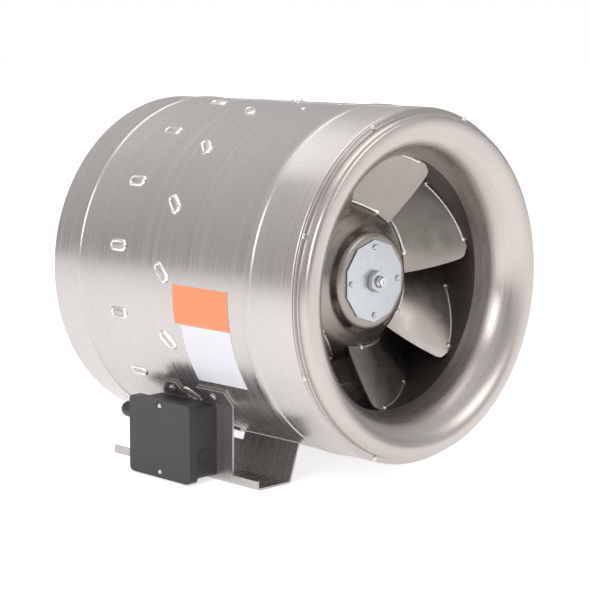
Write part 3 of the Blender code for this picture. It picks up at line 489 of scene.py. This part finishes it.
def make_casing_welds(sizes):
    """Plug welds where the guide vanes' tabs come through the casing, and the seam along its top."""
    rims, centres = bmesh.new(), bmesh.new()
    for number in range(16):
        base = number * FULL_TURN / 16
        for y in (0.0069, 0.0847):
            slope = CASING_R * (vane_turn(y + 0.001) - vane_turn(y - 0.001)) / 0.002
            middle = base + vane_turn(y)
            lean = math.atan(slope)
            for into, size, height in ((rims, 1.0, sizes.weld_height), (centres, 0.50, sizes.weld_height * 0.6)):
                pad = bmesh.new()
                bmesh.ops.create_cone(pad, cap_ends=True, segments=28, radius1=0.0074 * size, radius2=0.0068 * size,
                                      depth=0.0006)
                top = [f for f in pad.faces if f.normal.z > 0.9]
                rise = height
                bmesh.ops.inset_region(pad, faces=top, thickness=0.0012 * size, depth=rise * 0.8)
                bmesh.ops.inset_region(pad, faces=top, thickness=0.0010 * size, depth=rise * 0.2)
                if size == 1.0:
                    bmesh.ops.inset_region(pad, faces=top, thickness=0.0012, depth=-rise * 0.75)
                for vert in pad.verts:
                    x, across, z = vert.co
                    x += math.copysign(0.0068, x) if abs(x) > 1e-6 else 0.0
                    ripple = 1 + 0.10 * math.sin(x * 4100 + number * 1.7) * (1 if z > 0.0004 else 0)
                    along_y = x * math.cos(lean) - across * math.sin(lean)
                    round_s = x * math.sin(lean) + across * math.cos(lean)
                    vert.co = around(middle + round_s / CASING_R, CASING_R + z * ripple, y + along_y)
                join(into, pad)
    # The weld rims carry the painted highlight of the lightened weld colour; the centres take the darker, rougher copy
    piece("vane_weld_rims", rims, "Weld metal and highlight", CASING, smooth=60)
    piece("vane_weld_centres", centres, "Dull weld", CASING, smooth=60)
    seam = [(around(math.radians(94.6), CASING_R + 0.0001, -0.186 + 0.0093 * i / 2), 1.0 + 0.12 * math.sin(i * 2.1))
            for i in range(80)]
    tube("casing_seam", [seam], 0.0007, "Weld metal and highlight", CASING)
    knobs = bmesh.new()
    for angle, y, radius in ((103.3, -0.0632, 0.0032), (94.4, -0.0254, 0.0026), (94.8, -0.0928, 0.0022)):
        knob = bmesh.new()
        bmesh.ops.create_uvsphere(knob, u_segments=20, v_segments=12, radius=radius)
        seat = around(math.radians(angle), CASING_R, y)
        turn = (seat - around(0, 0, y)).to_track_quat("Z", "Y").to_matrix().to_4x4()
        bmesh.ops.transform(knob, verts=knob.verts, matrix=Matrix.Translation(seat) @ turn @ Matrix.Scale(0.4, 4, (0, 0, 1)))
        join(knobs, knob)
    piece("seam_knobs", knobs, "Weld metal and highlight", CASING, smooth=60)


def make_labels(sizes):
    """Blank stickers wrapped on the casing's side."""
    for name, finish_name, low, high, front, rear in (
            ("orange_label", "Orange label", 179.0, 191.7, -0.1022, -0.0126),
            ("white_label", "White label", 191.9, 212.4, -0.1020, -0.0220)):
        bm = bmesh.new()
        bmesh.ops.create_grid(bm, x_segments=24, y_segments=8, size=0.5)
        for vert in bm.verts:
            angle = math.radians(low + (high - low) * (vert.co.x + 0.5))
            vert.co = around(angle, CASING_R + 0.00025, front + (rear - front) * (vert.co.y + 0.5))
        bm.normal_update()
        if sum(f.normal.dot(f.calc_center_median() - CENTRE) for f in bm.faces) < 0:
            bmesh.ops.reverse_faces(bm, faces=bm.faces)
        bmesh.ops.solidify(bm, geom=bm.faces[:], thickness=0.0002)
        piece(name, bm, finish_name, CASING)


def make_box_details(sizes):
    """Knock-out rings on the terminal box's side walls and the drilled end of the shaft's stud."""
    low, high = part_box("terminal_box_base")
    rings = []
    for y in (low[1] - 0.0001, high[1] + 0.0001):
        for radius in ((0.0100, 0.0088) if y < low[1] else ()):
            rings.append([(Vector((low[0] + 0.021 + radius * math.cos(t * FULL_TURN / 48), y,
                                   low[2] + 0.0248 + radius * math.sin(t * FULL_TURN / 48))), 1.0)
                          for t in range(49)])
    tube("knock_out_rings", rings, 0.00035, "Black moulding", CASING)
    end = bmesh.new()
    bmesh.ops.create_cone(end, cap_ends=True, segments=32, radius1=0.0052, radius2=0.0046, depth=0.0012)
    top = [f for f in end.faces if f.normal.z > 0.9]
    bmesh.ops.inset_region(end, faces=top, thickness=0.0016, depth=0.0)
    bmesh.ops.inset_region(end, faces=top, thickness=0.0002, depth=-0.0011)
    seat = around(0.0, 0.0, SHAFT_LOW[1] - MIDDLE_Y - 0.0007)
    bmesh.ops.transform(end, verts=end.verts, matrix=Matrix.Translation(seat) @ Matrix.Rotation(math.pi / 2, 4, "X"))
    piece("stud_end", end, "Ground steel", ROTOR, smooth=40)


# ---- carried-over nodes ----
def node_finish(name):
    """The finish that a CAD node is given."""
    table = (
        (("plate_screw", "left_foot_screw", "right_foot_screw", "lid_screw", "hub_cover", "shaft_nut",
          "motor_support"), "Zinc plate"),
        (("motor_shaft", "front_bearing", "rear_bearing"), "Ground steel"),
        (("motor_stator",), "Winding"),
        (("rotor_can",), "Cast alloy"),
        (("terminal_box", "cable_gland"), "Black moulding"),
        (("blanking_plug", "run_capacitor"), "Grey moulding"),
        (("terminal_block",), "White moulding"),
        (("motor_lead", "lid_gasket"), "Black rubber"),
    )
    for starts, found in table:
        if name.startswith(starts):
            return found
    return "Sheet steel"


def make_node_finishes(sizes):
    """Give every CAD node that stays in view its own finish."""
    for name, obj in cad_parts.items():
        mat = finish(node_finish(name))
        for slot in obj.material_slots:
            slot.material = mat


# ---- stage ----
def soft_light(name, place, aim, size, power, tint=(1.0, 1.0, 1.0)):
    light = bpy.data.lights.new(name, "AREA")
    light.shape = "RECTANGLE"
    light.size, light.size_y = size
    light.energy = power
    light.color = tint
    obj = bpy.data.objects.new(name, light)
    obj.location = place
    obj.rotation_euler = (Vector(aim) - Vector(place)).to_track_quat("-Z", "Y").to_euler()
    bpy.context.scene.collection.objects.link(obj)


def make_stage(sizes):
    """Pale floor, soft lights, white surroundings and the camera."""
    scene = bpy.context.scene
    scene.view_settings.view_transform = "Standard"
    camera = bpy.data.cameras.new("fan_camera")
    camera.sensor_width = 36.0
    camera.lens = 1790.0 / 590.0 * 36.0
    camera.clip_end = 50.0
    right = Vector((0.707394, -0.706807, 0.004179))
    up = Vector((0.101082, 0.107014, 0.989106))
    ahead = Vector((0.699554, 0.699265, -0.147147))
    view = bpy.data.objects.new("fan_camera", camera)
    turn = Matrix((right, up, -ahead)).transposed().to_4x4()
    view.matrix_world = Matrix.Translation(CENTRE + CASING_R * Vector((-7.462312, -7.48652, 1.420106))) @ turn
    scene.collection.objects.link(view)
    scene.camera = view
    bm = bmesh.new()
    bmesh.ops.create_grid(bm, x_segments=1, y_segments=1, size=20.0)
    mesh = bpy.data.meshes.new("floor")
    bm.to_mesh(mesh)
    bm.free()
    floor = bpy.data.objects.new("floor", mesh)
    scene.collection.objects.link(floor)
    mat = bpy.data.materials.new("Pale floor")
    mat.use_nodes = True
    nodes, links = mat.node_tree.nodes, mat.node_tree.links
    shader = nodes["Principled BSDF"]
    shader.inputs["Base Color"].default_value = (0.82, 0.82, 0.82, 1.0)
    shader.inputs["Roughness"].default_value = 0.9
    shader.inputs["Emission Color"].default_value = (1.0, 1.0, 1.0, 1.0)
    paths = nodes.new("ShaderNodeLightPath")
    seen = nodes.new("ShaderNodeMath")
    seen.operation = "MAXIMUM"
    links.new(paths.outputs["Is Camera Ray"], seen.inputs[0])
    links.new(paths.outputs["Is Glossy Ray"], seen.inputs[1])
    boost = nodes.new("ShaderNodeMath")
    boost.operation = "MULTIPLY"
    boost.inputs[1].default_value = 0.66
    links.new(seen.outputs[0], boost.inputs[0])
    links.new(boost.outputs[0], shader.inputs["Emission Strength"])
    mesh.materials.append(mat)
    world = bpy.data.worlds.new("studio")
    world.use_nodes = True
    scene.world = world
    nodes, links = world.node_tree.nodes, world.node_tree.links
    paths = nodes.new("ShaderNodeLightPath")
    place = nodes.new("ShaderNodeTexCoord")
    parts = nodes.new("ShaderNodeSeparateXYZ")
    links.new(place.outputs["Generated"], parts.inputs[0])
    height = nodes.new("ShaderNodeMapRange")
    height.inputs["From Min"].default_value = 0.0
    height.inputs["From Max"].default_value = 0.9
    height.inputs["To Min"].default_value = 0.42
    height.inputs["To Max"].default_value = 0.85
    links.new(parts.outputs["Z"], height.inputs["Value"])
    seen = nodes.new("ShaderNodeMix")
    seen.data_type = "FLOAT"
    seen.inputs["B"].default_value = 1.0
    links.new(height.outputs["Result"], seen.inputs["A"])
    links.new(paths.outputs["Is Camera Ray"], seen.inputs["Factor"])
    links.new(seen.outputs["Result"], nodes["Background"].inputs["Strength"])
    nodes["Background"].inputs["Color"].default_value = (1.0, 1.0, 1.0, 1.0)
    soft_light("left_softbox", (-2.2, -0.6, 1.3), CENTRE, (1.4, 1.4), 20.0)
    soft_light("front_softbox", (0.9, -2.2, 1.2), CENTRE, (1.0, 1.0), 9.0)
    soft_light("top_softbox", (0.0, 0.3, 2.4), CENTRE, (2.0, 2.0), 18.0)


STEPS = (
    operator("DUCTFAN_OT_stage", "Stage", "Make the floor, lights and camera", make_stage),
    operator("DUCTFAN_OT_finishes", "Node finishes", "Give the carried-over pieces their finishes", make_node_finishes),
    operator("DUCTFAN_OT_casing", "Casing", "Make the rolled casing", make_casing),
    operator("DUCTFAN_OT_mouth", "Mouth", "Make the bell mouth and its rivets", make_mouth),
    operator("DUCTFAN_OT_hub", "Hub", "Make the hub and shroud", make_hub),
    operator("DUCTFAN_OT_blades", "Blades", "Make the blades and their welds", make_blades),
    operator("DUCTFAN_OT_welds", "Casing welds", "Make the casing's welds and seam", make_casing_welds),
    operator("DUCTFAN_OT_labels", "Labels", "Make the blank stickers", make_labels),
    operator("DUCTFAN_OT_box", "Box details", "Make the knock-out rings and the stud's end", make_box_details),
)


class DUCTFAN_PT_panel(bpy.types.Panel):
    """Lists the fan's sizes, colours and makers."""
    bl_label = "Duct Fan"
    bl_idname = "DUCTFAN_PT_panel"
    bl_space_type = "VIEW_3D"
    bl_region_type = "UI"
    bl_category = "Duct Fan"

    def draw(self, context):
        for group in (context.scene.fan_sizes, context.scene.fan_colours):
            for name in type(group).__annotations__:
                self.layout.prop(group, name)
        for step in STEPS:
            self.layout.operator(step.bl_idname)


CLASSES = (FanSizes, FanColours) + STEPS + (DUCTFAN_PT_panel,)


def register():
    for cls in CLASSES:
        bpy.utils.register_class(cls)
    bpy.types.Scene.fan_sizes = PointerProperty(type=FanSizes)
    bpy.types.Scene.fan_colours = PointerProperty(type=FanColours)


def unregister():
    del bpy.types.Scene.fan_sizes
    del bpy.types.Scene.fan_colours
    for cls in reversed(CLASSES):
        bpy.utils.unregister_class(cls)


def main():
    """Register the add-on, make every piece and note the two boxes."""
    register()
    for step in STEPS:
        getattr(bpy.ops.duct_fan, step.bl_idname.split(".")[1])()
    bpy.context.view_layer.update()


if __name__ == "__main__":
    main()
